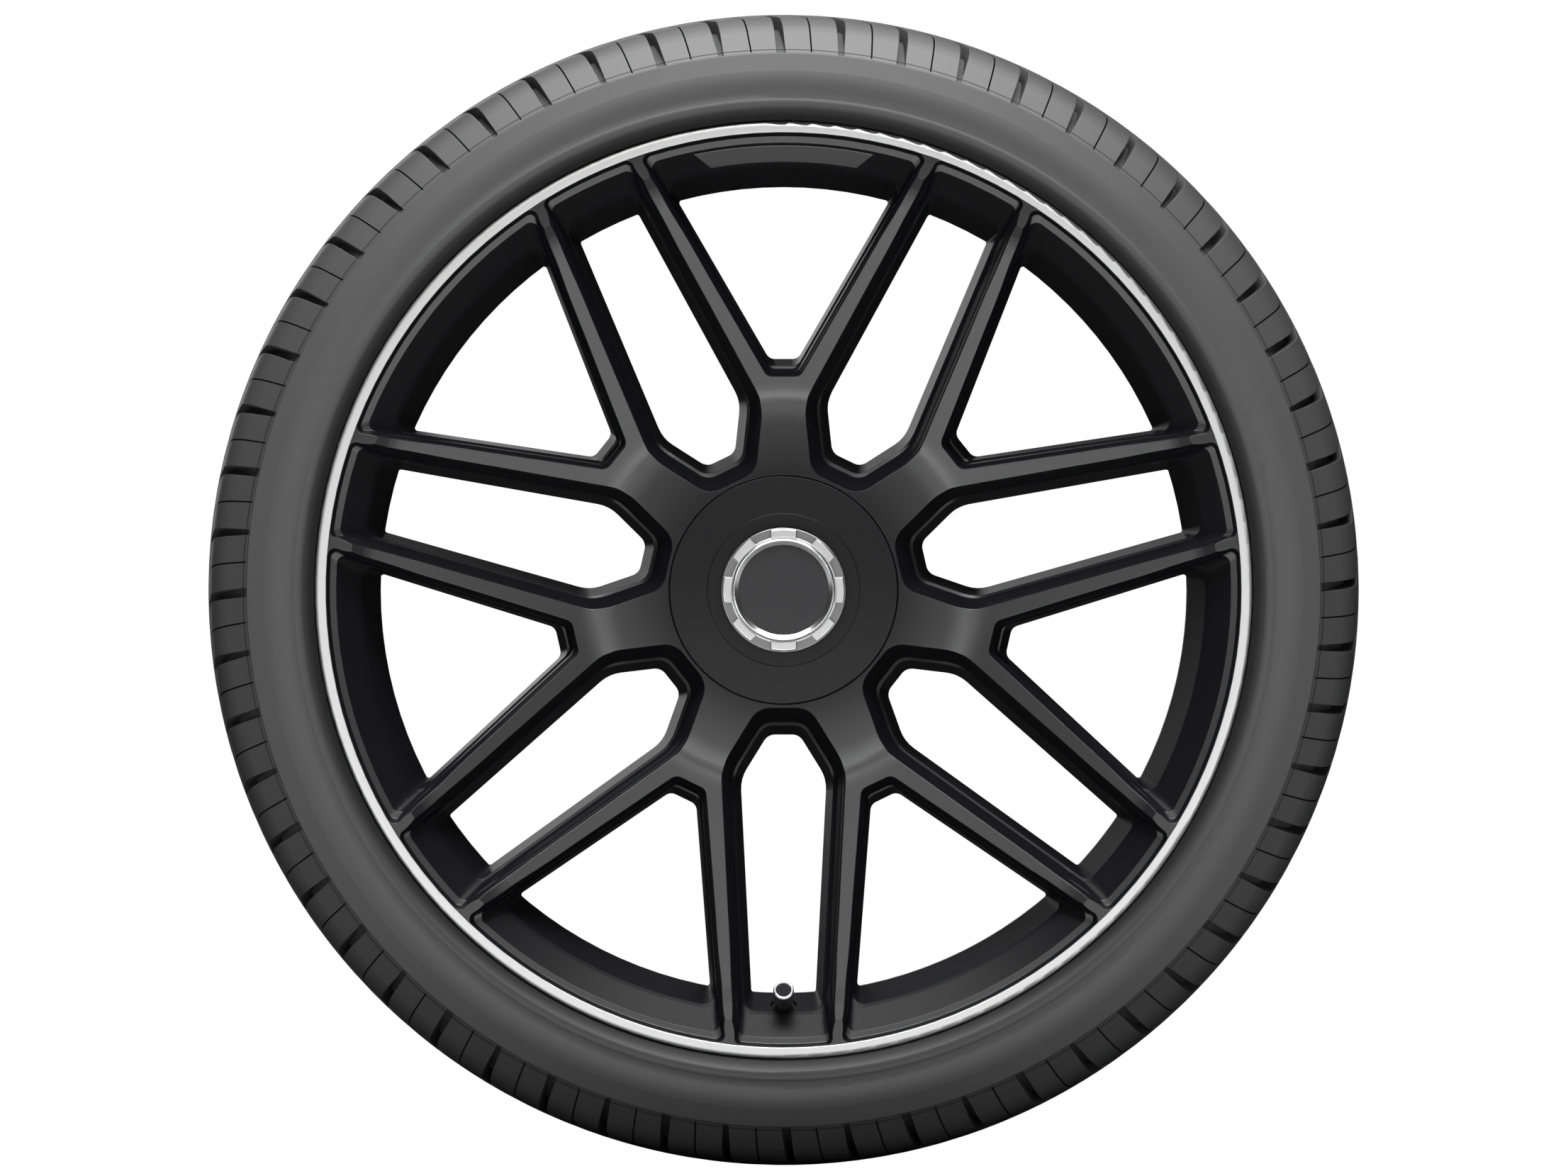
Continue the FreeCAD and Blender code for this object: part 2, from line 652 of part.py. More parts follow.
def rib_notch(shell):
    """Slanted notch in the rib between two main grooves, at the top of the tyre."""
    start = INNER_GROOVE_OUT
    stop = OUTER_GROOVE_OUT
    low = tyre_r - TREAD_DEPTH
    points = [(-NOTCH_WIDTH / 2, start), (NOTCH_WIDTH / 2, start), (12 + NOTCH_WIDTH / 3, 0.75 * stop), (12 - NOTCH_WIDTH / 3, 0.75 * stop)]
    wire = Part.makePolygon([Vector(x, -out, low + 1) for x, out in points + points[:1]])
    return Part.Face(wire).extrude(Vector(0, 0, 30))


def tyre():
    body = ring(tyre_points())
    shell = tread_shell()
    pitch = TURN / TREAD_PITCHES
    open_groove = block_groove(shell, False)
    closed_groove = block_groove(shell, True)
    notch = rib_notch(shell)
    tools = []
    for out, width in ((INNER_GROOVE_OUT, INNER_GROOVE_WIDTH), (OUTER_GROOVE_OUT, OUTER_GROOVE_WIDTH)):
        low = tyre_r - TREAD_DEPTH - out ** 2 / (2 * CROWN_ROUND)
        for side in (out, -out):
            near, far = side - width / 2, side + width / 2
            tools.append(ring([(low, near + 1, 1), (low, far - 1, 1), (tyre_r + 5, far, 0), (tyre_r + 5, near, 0)]))
    near_side = around(open_groove, TREAD_PITCHES // 2) + around(closed_groove, TREAD_PITCHES // 2, pitch)
    near_side += around(notch, TREAD_PITCHES, pitch / 2)
    tools += near_side
    for tool in near_side:
        flipped = tool.copy()
        flipped.rotate(ORIGIN, Vector(0, 0, 1), 180.0)
        tools.append(flipped)
    return solid_of(body.cut(tools))


cover_front = hub_out + 2.2
cover_foot = seat_out + GASKET_THICKNESS
crown_foot = cover_front + MOVING_GAP
crown_step = crown_foot + CROWN_BASE
crown_top = crown_step + CROWN_TOOTH_HEIGHT
flange_top = crown_foot + SPINDLE_FLANGE
lug_top = lip_out - MOVING_GAP
lug_foot = lug_top - LUG_THICKNESS
boss_foot = cover_front - 8
clip_top = boss_foot - MOVING_GAP
clip_foot = clip_top - CLIP_THICKNESS
clip_groove_r = SPINDLE_RADIUS - 1.5


def hub_cover():
    hole = SPINDLE_RADIUS + RUNNING_GAP
    skirt_in = COVER_RADIUS - COVER_SKIRT
    ring_out = cover_front - 0.3
    return ring([
        (hole, boss_foot, 0.3),
        (hole + 7, boss_foot, 1),
        (hole + 7, cover_front - COVER_WALL, 2),
        (skirt_in, hub_out - COVER_WALL, 2),
        (skirt_in, cover_foot, 0),
        (COVER_RADIUS, cover_foot, 0.3),
        (COVER_RADIUS, hub_out - 0.1, 0.8),
        (COVER_RING_RADIUS, ring_out - COVER_RING_DEPTH, 0.2),
        (COVER_RING_RADIUS - 0.5, ring_out, 0.2),
        (CROWN_RADIUS + 1, cover_front, 0),
        (hole, cover_front, 0.3),
    ])


def cover_gasket():
    inner = COVER_RADIUS - COVER_SKIRT - 0.6
    low, high = seat_out + SEAT_GAP, cover_foot - SEAT_GAP
    return ring([(inner, low, 0.2), (COVER_RADIUS, low, 0.2), (COVER_RADIUS, high, 0.2), (inner, high, 0.2)])


def crown_ring():
    rim = CROWN_RADIUS - CROWN_TOOTH_INSET
    collar = CROWN_BORE + CROWN_COLLAR
    body = ring([
        (CROWN_BORE, crown_foot, 0.3),
        (CROWN_RADIUS, crown_foot, 0.4),
        (CROWN_RADIUS, crown_step, 0.5),
        (collar, crown_step, 0.2),
        (collar, crown_top - 1.2, 0.3),
        (CROWN_BORE, crown_top - 1.2, 0.3),
    ])
    half = CROWN_TOOTH_WIDTH / 2
    tooth = ring([(collar - 0.5, crown_step - 1, 0), (rim, crown_step - 1, 0), (rim - 0.4, crown_top, 0.6), (collar - 0.5, crown_top, 0.3)])
    slab = rounded(
        [(-half - 0.4, crown_step - 2, 0), (half + 0.4, crown_step - 2, 0), (half - 0.4, crown_top + 1, 0), (0.4 - half, crown_top + 1, 0)],
        lambda x, out: Vector(x, -out, 0),
    )
    one = tooth.common(Part.Face(slab).extrude(Vector(0, 0, 2 * CROWN_RADIUS)))
    return solid_of(body.fuse(around(one.Solids[0], CROWN_TOOTH_COUNT)).removeSplitter())


def bezel_ring():
    outer = CROWN_BORE - SEAT_GAP
    foot = flange_top + SEAT_GAP
    high = crown_top + BEZEL_RISE
    return ring([
        (BEZEL_BORE, foot, 0.2),
        (outer, foot, 0.2),
        (outer, high - 0.8, 0.6),
        (outer - 1.0, high, 0.6),
        (BEZEL_BORE, high - 2.4, 0.3),
    ])


def centre_disc():
    outer = BEZEL_BORE - SEAT_GAP
    foot = flange_top + SEAT_GAP
    high = crown_top - 1.6
    return ring([(0, foot, 0), (outer, foot, 0.2), (outer, high, 0.4), (0, high + DISC_DOME, 0)])


def lock_spindle():
    body = ring([
        (SPINDLE_BORE, lug_foot, 0.5),
        (SPINDLE_RADIUS, lug_foot, 0.5),
        (SPINDLE_RADIUS, clip_foot - SEAT_GAP, 0),
        (clip_groove_r, clip_foot - SEAT_GAP, 0),
        (clip_groove_r, clip_top + SEAT_GAP, 0),
        (SPINDLE_RADIUS, clip_top + SEAT_GAP, 0),
        (SPINDLE_RADIUS, crown_foot, 0),
        (CROWN_BORE - SEAT_GAP, crown_foot, 0.3),
        (CROWN_BORE - SEAT_GAP, flange_top, 0.3),
        (SPINDLE_BORE, flange_top, 0.5),
    ])
    core = post(SPINDLE_RADIUS - 1, lug_foot - 1, lug_top + 1)
    lug = sector(LUG_RADIUS, lug_foot, lug_top, LUG_ANGLE).cut(core)
    return solid_of(body.fuse(around(lug.Solids[0], LUG_COUNT)).removeSplitter())


def spindle_clip():
    inner = clip_groove_r + SEAT_GAP
    body = ring([(inner, clip_foot, 0), (CLIP_RADIUS, clip_foot, 0.2), (CLIP_RADIUS, clip_top, 0.2), (inner, clip_top, 0)])
    return solid_of(body.cut(sector(2 * CLIP_RADIUS, clip_foot - 1, clip_top + 1, CLIP_MOUTH)))


cap_foot = STEM_LENGTH - CAP_LENGTH + CAP_TOP + 0.3
core_top = STEM_LENGTH - 2.5
core_foot = core_top - CORE_LENGTH
core_r = STEM_BORE - SEAT_GAP
chamber_r = core_r - 0.55
pin_top = STEM_LENGTH - 2.5 + PIN_PROUD
collar_out = core_foot + 0.55 * CORE_LENGTH
stem_foot = -VALVE_BULB_LENGTH - 0.5
thread_bore = SCREW_RADIUS + 0.05


def valve_body():
    """Rubber snap-in body: a bulb inside the rim, a neck in the hole and a tapered stalk outside."""
    bore = STEM_RADIUS + SEAT_GAP
    hole = VALVE_HOLE_RADIUS - SEAT_GAP
    return on_valve([
        (bore, -VALVE_BULB_LENGTH, 0),
        (VALVE_BULB_RADIUS - 2, -VALVE_BULB_LENGTH, 1.5),
        (VALVE_BULB_RADIUS, -SEAT_GAP, 0.8),
        (hole, -SEAT_GAP, 0),
        (hole, VALVE_WALL + SEAT_GAP, 0),
        (VALVE_BORE_RADIUS - 1.0, VALVE_WALL + SEAT_GAP, 0.6),
        (VALVE_BODY_RADIUS, VALVE_WALL + 5, 4),
        (VALVE_BODY_RADIUS - 0.2, min(VALVE_BODY_LENGTH, cap_foot - MOVING_GAP), 0.8),
        (bore, min(VALVE_BODY_LENGTH, cap_foot - MOVING_GAP), 0),
    ])


def valve_stem():
    return on_valve([
        (thread_bore, stem_foot, 0.3),
        (STEM_RADIUS, stem_foot, 0.3),
        (STEM_RADIUS, STEM_LENGTH, 0.5),
        (STEM_BORE, STEM_LENGTH, 0.3),
        (STEM_BORE, core_foot - 4, 0),
        (thread_bore, core_foot - 4, 0),
    ])


def valve_core():
    hole = PIN_RADIUS + 0.35
    return on_valve([
        (hole, core_foot, 0),
        (core_r, core_foot, 0.3),
        (core_r, core_top, 0.3),
        (hole, core_top, 0),
        (hole, collar_out + 4, 0),
        (chamber_r, collar_out + 4, 0),
        (chamber_r, core_foot + 1.5, 0),
        (hole, core_foot + 1.5, 0),
    ])


def valve_pin():
    collar = chamber_r - 0.35
    return on_valve([
        (0, core_foot - 2.4, 0),
        (core_r - 0.7, core_foot - 2.4, 0.3),
        (core_r - 0.7, core_foot - 0.4, 0),
        (PIN_RADIUS, core_foot - 0.4, 0),
        (PIN_RADIUS, collar_out, 0),
        (collar, collar_out, 0),
        (collar, collar_out + 1, 0),
        (PIN_RADIUS, collar_out + 1, 0),
        (PIN_RADIUS, pin_top, 0.3),
        (0, pin_top, 0),
    ])


def valve_cap():
    bore = STEM_RADIUS + MOVING_GAP
    high = cap_foot + CAP_LENGTH
    disc = CAP_DISC_RADIUS
    return on_valve([
        (bore, cap_foot, 0.3),
        (CAP_RADIUS, cap_foot, 0.5),
        (CAP_RADIUS, high, 0.9),
        (disc, high, 0.3),
        (disc, high - 0.8, 0),
        (0, high - 0.8, 0),
        (0, high - CAP_TOP, 0),
        (bore, high - CAP_TOP, 0),
    ])


def valve_cap_disc():
    high = cap_foot + CAP_LENGTH
    outer = CAP_DISC_RADIUS - SEAT_GAP
    low = high - 0.8 + SEAT_GAP
    return on_valve([(0, low, 0), (outer, low, 0), (outer, high - 0.2, 0.2), (0, high - 0.2, 0)])


def sensor_case():
    """Pressure sensor: a case lying in the well with a foot clamped under the valve stem."""
    low_r = well_r + SENSOR_GAP
    high_r = low_r + SENSOR_HEIGHT
    far = well_front - 9
    case = Part.makeBox(SENSOR_WIDTH, SENSOR_LENGTH, SENSOR_HEIGHT, Vector(-SENSOR_WIDTH / 2, -far, -high_r))
    case = case.makeFillet(2.5, case.Edges)
    foot_top = stem_foot - SEAT_GAP
    foot = on_valve([(0, foot_top - 14, 0), (5.5, foot_top - 14, 0), (5.5, foot_top, 0.5), (0, foot_top, 0)])
    hole = SCREW_RADIUS + 0.1
    head = SCREW_HEAD_RADIUS + 0.2
    drill = on_valve([
        (0, foot_top - 40, 0),
        (head, foot_top - 40, 0),
        (head, foot_top - 3, 0),
        (hole, foot_top - 3, 0),
        (hole, foot_top + 1, 0),
        (0, foot_top + 1, 0),
    ])
    return solid_of(case.fuse(foot).removeSplitter().cut(drill))


def sensor_screw():
    top = stem_foot - SEAT_GAP - 3 - SEAT_GAP
    return on_valve([
        (0.8, top - 3, 0),
        (SCREW_HEAD_RADIUS, top - 3, 0.5),
        (SCREW_HEAD_RADIUS, top, 0.2),
        (SCREW_RADIUS, top, 0),
        (SCREW_RADIUS, stem_foot + 6, 0.3),
        (0.8, stem_foot + 6, 0),
    ])


PIECES = (
    forged_wheel,
    tyre,
    hub_cover,
    cover_gasket,
    crown_ring,
    bezel_ring,
    centre_disc,
    lock_spindle,
    spindle_clip,
    valve_body,
    valve_stem,
    valve_core,
    valve_pin,
    valve_cap,
    valve_cap_disc,
    sensor_case,
    sensor_screw,
)

os.makedirs("parts", exist_ok=True)
for piece in PIECES:
    piece().exportStep("parts/" + piece.__name__ + ".step")
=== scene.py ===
"""Studio picture of the forged road wheel on a plain white ground, seen square on from the show side."""

import json
import math

import bpy
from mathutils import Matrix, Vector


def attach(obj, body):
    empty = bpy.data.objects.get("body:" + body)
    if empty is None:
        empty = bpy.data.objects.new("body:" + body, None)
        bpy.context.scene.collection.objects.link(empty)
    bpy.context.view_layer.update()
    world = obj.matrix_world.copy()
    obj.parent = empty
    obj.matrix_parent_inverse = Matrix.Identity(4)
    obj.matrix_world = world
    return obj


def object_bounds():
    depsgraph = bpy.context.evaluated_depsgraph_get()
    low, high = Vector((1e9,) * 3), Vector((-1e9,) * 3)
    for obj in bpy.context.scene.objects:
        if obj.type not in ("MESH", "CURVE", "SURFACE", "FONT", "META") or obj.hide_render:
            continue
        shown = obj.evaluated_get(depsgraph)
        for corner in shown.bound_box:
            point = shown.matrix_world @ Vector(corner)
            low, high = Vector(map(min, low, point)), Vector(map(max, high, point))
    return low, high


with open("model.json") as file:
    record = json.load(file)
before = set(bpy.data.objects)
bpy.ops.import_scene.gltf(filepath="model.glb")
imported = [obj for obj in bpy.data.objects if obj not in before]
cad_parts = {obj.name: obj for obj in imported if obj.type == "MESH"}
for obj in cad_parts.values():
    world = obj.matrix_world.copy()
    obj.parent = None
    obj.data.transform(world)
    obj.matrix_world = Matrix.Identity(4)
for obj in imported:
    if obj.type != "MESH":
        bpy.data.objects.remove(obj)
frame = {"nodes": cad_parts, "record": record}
cad_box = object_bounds()
nodes = frame["nodes"]

# Sizes in metres that the finishes and added trim follow
RING_IN = 0.2776
RING_OUT = 0.1385
LIP_OUT = 0.1300
FLANGE_R = 0.2840
FLANGE_OUT = 0.1395
HUB_FADE_R = 0.060
CREASE_R = 0.114
CREASE_HIGHLIGHT_REACH = 0.014
TOOTH_DEPTH = 0.0042
EDGE_LINE_R = 0.3262
SHOULDER_LINE_R = 0.3276
CUT_WIDTH = 0.0007
CUT_INNER = 0.0860
TREAD_PITCHES = 56
SWEEP = 0.0130
SWEEP_START = 0.080
SWEEP_STOP = 0.151
SWEEP_POWER = 1.244
TYRE_R = 0.3522
SMALL_EDGE = 0.0003

# Colours, sheen and roughness of the main finishes; the sheen levels paint shade on the walls and hub
# and highlights on the spokes and crease
PAINT = (0.0035, 0.0035, 0.004, 1.0)
PAINT_ROUGHNESS = 0.36
WALL_PAINTED_SHADE_SHEEN = 0.04
HUB_PAINTED_SHADE_SHEEN = 0.17
SPOKE_PAINTED_HIGHLIGHT_SHEEN = 0.52
CREASE_PAINTED_HIGHLIGHT_SHEEN = 0.45
RING_LEVEL = 0.42
RING_METAL = 0.8
RUBBER = (0.024, 0.024, 0.0245, 1.0)

# The picture: the flange's radius in pixels sets the lens
CAMERA_DISTANCE = 11.5
FLANGE_PIXELS = 661.0
IMAGE_WIDTH = 2212.0
SHIFT_PIXELS = (0.6, 2.8)
SENSOR = 36.0


class Nodes:
    """Short hand for building a node tree."""

    def __init__(self, name):
        self.material = bpy.data.materials.new(name)
        self.material.use_nodes = True
        self.tree = self.material.node_tree
        self.shader = self.tree.nodes["Principled BSDF"]

    def add(self, kind):
        return self.tree.nodes.new(kind)

    def link(self, source, target):
        self.tree.links.new(source, target)

    def set(self, **values):
        for key, value in values.items():
            self.shader.inputs[key.replace("_", " ")].default_value = value

    def math(self, operation, first, second=None, third=None, clamp=False):
        node = self.add("ShaderNodeMath")
        node.operation = operation
        node.use_clamp = clamp
        for place, value in enumerate((first, second, third)):
            if value is None:
                continue
            if isinstance(value, (int, float)):
                node.inputs[place].default_value = value
            else:
                self.link(value, node.inputs[place])
        return node.outputs[0]

    def step(self, low, high, value):
        """0 below low, 1 above high, smooth between."""
        node = self.add("ShaderNodeMapRange")
        node.interpolation_type = "SMOOTHSTEP"
        node.inputs["From Min"].default_value = low
        node.inputs["From Max"].default_value = high
        self.link(value, node.inputs["Value"])
        return node.outputs["Result"]

    def mix(self, kind, factor, first, second):
        """First where the factor is 0, second where it is 1; each a constant or a socket."""
        node = self.add("ShaderNodeMix")
        node.data_type = kind
        self.link(factor, node.inputs["Factor"])
        for place, value in (("A", first), ("B", second)):
            if isinstance(value, bpy.types.NodeSocket):
                self.link(value, node.inputs[place])
            else:
                node.inputs[place].default_value = value
        return node.outputs["Result"]

    def invert(self, value):
        return self.math("SUBTRACT", 1.0, value)

    def feed(self, **sockets):
        """Link sockets to the shader's inputs."""
        for key, socket in sockets.items():
            self.link(socket, self.shader.inputs[key.replace("_", " ")])

    def place(self):
        """Position on the wheel: x, y, z and the distance from the axle."""
        coordinate = self.add("ShaderNodeTexCoord")
        split = self.add("ShaderNodeSeparateXYZ")
        self.link(coordinate.outputs["Object"], split.inputs[0])
        x, y, z = split.outputs[0], split.outputs[1], split.outputs[2]
        square = self.math("ADD", self.math("MULTIPLY", x, x), self.math("MULTIPLY", z, z))
        return x, y, z, self.math("SQRT", square)

    def soft_edges(self, radius, normal=None):
        node = self.add("ShaderNodeBevel")
        node.samples = 6
        node.inputs["Radius"].default_value = radius
        if normal is not None:
            self.link(normal, node.inputs["Normal"])
        return node.outputs[0]

    def grain(self, scale, strength, distance):
        noise = self.add("ShaderNodeTexNoise")
        noise.inputs["Scale"].default_value = scale
        noise.inputs["Detail"].default_value = 3.0
        coordinate = self.add("ShaderNodeTexCoord")
        self.link(coordinate.outputs["Object"], noise.inputs["Vector"])
        bump = self.add("ShaderNodeBump")
        bump.inputs["Strength"].default_value = strength
        bump.inputs["Distance"].default_value = distance
        self.link(noise.outputs["Fac"], bump.inputs["Height"])
        return bump


def grey(level):
    return (level, level, level, 1.0)


def painted(name, edge):
    """Satin black paint with softened edges, and a mask of the faces that look along the axle; the
    callers give the walls outside it a low sheen, painted shade.
    """
    n = Nodes(name)
    n.set(Base_Color=PAINT, Roughness=PAINT_ROUGHNESS, Metallic=0.0)
    n.feed(Normal=n.soft_edges(edge))
    coordinate = n.add("ShaderNodeTexCoord")
    split = n.add("ShaderNodeSeparateXYZ")
    n.link(coordinate.outputs["Normal"], split.inputs[0])
    # Walls outside this mask get the low wall sheen: painted shade that keeps them dark.
    face = n.step(0.82, 0.96, n.math("ABSOLUTE", split.outputs[1]))
    return n, face


def cover_paint():
    """The wheel's paint on the hub cover, with a low sheen on its face and a lower one on its walls:
    painted shade.
    """
    n, face = painted("cover_paint", 0.0006)
    # Low sheen on the face, lower on the walls: painted shade.
    n.feed(Specular_IOR_Level=n.mix("FLOAT", face, WALL_PAINTED_SHADE_SHEEN, HUB_PAINTED_SHADE_SHEEN))
    return n.material


def wheel_paint():
    """Black paint, with the turned edge of the rim left bright, and a sheen that varies by place:
    painted shade on the hub and walls, painted highlights on the spokes and along the crease.
    """
    n, face = painted("black_paint", 0.0008)
    x, y, z, r = n.place()
    out = n.math("MULTIPLY", y, -1.0)
    inner = n.step(RING_IN - 0.0030, RING_IN - 0.0020, r)
    facing = n.step(RING_OUT - 0.0003, RING_OUT + 0.0003, out)
    edge = n.step(FLANGE_R - 0.0022, FLANGE_R - 0.0016, r)
    edge = n.math("MULTIPLY", edge, n.step(LIP_OUT, LIP_OUT + 0.0005, out))
    bright = n.math("MULTIPLY", inner, n.math("MAXIMUM", facing, edge))
    # Painted shade: low sheen on the hub, rising to a higher sheen on the spokes, a painted highlight.
    painted_sheen = n.mix("FLOAT", n.step(HUB_FADE_R, CREASE_R - 0.002, r), HUB_PAINTED_SHADE_SHEEN, SPOKE_PAINTED_HIGHLIGHT_SHEEN)
    # Painted highlight: a band of extra sheen along the crease between hub and spokes.
    off_crease = n.math("ABSOLUTE", n.math("SUBTRACT", r, CREASE_R))
    crease_highlight = n.invert(n.step(0.0, CREASE_HIGHLIGHT_REACH, off_crease))
    painted_sheen = n.math("ADD", painted_sheen, n.math("MULTIPLY", crease_highlight, CREASE_PAINTED_HIGHLIGHT_SHEEN))
    # Walls get the low wall sheen: painted shade.
    painted_sheen = n.mix("FLOAT", face, WALL_PAINTED_SHADE_SHEEN, painted_sheen)
    n.feed(
        Specular_IOR_Level=n.mix("FLOAT", bright, painted_sheen, 0.5),
        Base_Color=n.mix("RGBA", bright, PAINT, grey(RING_LEVEL)),
        Roughness=n.mix("FLOAT", bright, PAINT_ROUGHNESS, 0.40),
        Metallic=n.mix("FLOAT", bright, 0.0, RING_METAL),
    )
    return n.material


def tyre_rubber():
    """Black rubber with painted shade: dark lines for the fine cuts across the shoulder blocks and the
    step at the shoulder, and a darker band next to the rim.
    """
    n = Nodes("tyre_rubber")
    n.set(Roughness=0.56)
    x, y, z, r = n.place()
    out = n.math("ABSOLUTE", y)
    side = n.math("SIGN", n.math("MULTIPLY", y, -1.0))
    angle = n.math("MULTIPLY", n.math("ARCTAN2", x, z), side)
    share = n.math("DIVIDE", n.math("SUBTRACT", SWEEP_STOP, out), SWEEP_STOP - SWEEP_START, clamp=True)
    lag = n.math("MULTIPLY", n.math("POWER", share, SWEEP_POWER), SWEEP / TYRE_R)
    turns = n.math("MULTIPLY", n.math("ADD", angle, lag), TREAD_PITCHES / (2 * math.pi))
    # Whole turns added so that the fraction is taken of a positive number
    along = n.math("SUBTRACT", n.math("FRACT", n.math("ADD", turns, 100.0)), 0.5)
    reach = n.math("MULTIPLY", n.math("ABSOLUTE", along), 2 * math.pi * TYRE_R / TREAD_PITCHES)
    # Painted shade in the fine cuts: thin dark lines across the shoulder blocks.
    cut_shade = n.invert(n.step(CUT_WIDTH / 2, CUT_WIDTH, reach))
    cut_shade = n.math("MULTIPLY", cut_shade, n.step(CUT_INNER, CUT_INNER + 0.0005, out))
    cut_shade = n.math("MULTIPLY", cut_shade, n.step(EDGE_LINE_R, EDGE_LINE_R + 0.0004, r))
    # Painted shade along the step at the shoulder.
    off_line = n.math("ABSOLUTE", n.math("SUBTRACT", r, SHOULDER_LINE_R))
    step_line_shade = n.math("MULTIPLY", n.invert(n.step(0.0002, 0.0005, off_line)), n.step(0.12, 0.125, out))
    # Painted shade in the gap between rim flange and tyre, fading out up the sidewall.
    foot_shade = n.invert(n.step(FLANGE_R + 0.002, FLANGE_R + 0.014, r))
    # All painted shade together; where it lies the rubber also loses its sheen.
    painted_shade = n.math("MAXIMUM", cut_shade, n.math("MULTIPLY", step_line_shade, 0.6))
    painted_shade = n.math("MAXIMUM", painted_shade, n.math("MULTIPLY", foot_shade, 0.8))
    # The lip where it meets the bright ring takes the ring's finish
    lip = n.invert(n.step(FLANGE_R, FLANGE_R + 0.0003, r))
    lip = n.math("MULTIPLY", lip, n.step(LIP_OUT, LIP_OUT + 0.0005, out))
    lip = n.math("MULTIPLY", lip, n.math("GREATER_THAN", side, 0.0))
    rubber = n.mix("RGBA", painted_shade, RUBBER, grey(0.002))
    bump = n.grain(900.0, 0.12, 0.0004)
    n.link(n.soft_edges(0.0006), bump.inputs["Normal"])
    n.feed(
        Base_Color=n.mix("RGBA", lip, rubber, grey(RING_LEVEL)),
        Metallic=n.mix("FLOAT", lip, 0.0, RING_METAL),
        Specular_IOR_Level=n.mix("FLOAT", painted_shade, 0.4, 0.0),
        Normal=bump.outputs[0],
    )
    return n.material


def metal(name, level, roughness):
    n = Nodes(name)
    n.set(Base_Color=(level, level, level * 1.01, 1.0), Metallic=1.0, Roughness=roughness)
    n.feed(Normal=n.soft_edges(SMALL_EDGE))
    return n.material


def plain(name, color, roughness):
    n = Nodes(name)
    n.set(Base_Color=(color[0], color[1], color[2], 1.0), Roughness=roughness)
    n.feed(Normal=n.soft_edges(SMALL_EDGE))
    return n.material


def disc_gloss():
    """Gloss finish of the blank disc, shaded as one flat face."""
    n = Nodes("disc_gloss")
    n.set(Base_Color=(0.012, 0.012, 0.013, 1.0), Roughness=0.25)
    ahead = n.add("ShaderNodeCombineXYZ")
    ahead.inputs[1].default_value = -1.0
    n.feed(Normal=ahead.outputs[0])
    return n.material


def crown_metal():
    """Metal that is brighter at the ring's front, on the teeth, and darker from half a tooth's depth
    behind it.
    """
    n = Nodes("crown_metal")
    n.set(Metallic=1.0, Roughness=0.32)
    x, y, z, r = n.place()
    front = min(corner[1] for corner in nodes["crown_ring"].bound_box)
    base = n.step(front + TOOTH_DEPTH / 2, front + TOOTH_DEPTH * 0.8, y)
    n.feed(Base_Color=n.mix("RGBA", base, grey(0.50), grey(0.19)), Normal=n.soft_edges(0.0004))
    return n.material


finishes = {
    "black_paint": cover_paint(),
    "wheel_paint": wheel_paint(),
    "tyre_rubber": tyre_rubber(),
    "seal_rubber": plain("seal_rubber", (0.012, 0.012, 0.012), 0.5),
    "bright_metal": metal("bright_metal", 0.42, 0.30),
    "chrome": metal("chrome", 0.50, 0.24),
    "gloss_black": plain("gloss_black", (0.010, 0.010, 0.011), 0.16),
    "spring_steel": metal("spring_steel", 0.45, 0.3),
    "valve_brass": metal("valve_brass", 0.55, 0.3),
    "pad_paint": plain("pad_paint", (0.016, 0.016, 0.0165), 0.34),
    "sensor_plastic": plain("sensor_plastic", (0.02, 0.02, 0.022), 0.5),
    "disc_gloss": disc_gloss(),
    "crown_metal": crown_metal(),
}


def finish_node(name, finish):
    data = nodes[name].data
    data.materials.clear()
    data.materials.append(finishes[finish])


for part in frame["record"]["subparts"]:
    finish_node(part["node"], part["material_slot"])
finish_node("forged_wheel", "wheel_paint")
finish_node("centre_disc", "disc_gloss")
finish_node("crown_ring", "crown_metal")


def mesh_object(name, vertices, faces, material, smooth=True):
    data = bpy.data.meshes.new(name)
    data.from_pydata(vertices, [], faces)
    data.update()
    data.materials.append(material)
    if smooth:
        data.shade_smooth()
    item = bpy.data.objects.new(name, data)
    bpy.context.scene.collection.objects.link(item)
    return item


# Raised blank pad on the sloping floor of the top opening
FLOOR_OUTER = (0.2714, 0.1317)
FLOOR_INNER = (0.2582, 0.1206)
PAD_SPAN = (0.10, 0.86)
PAD_ANGLES = (11.65, 9.9)
PAD_RISE = 0.0008
PAD_EDGE = 0.0006


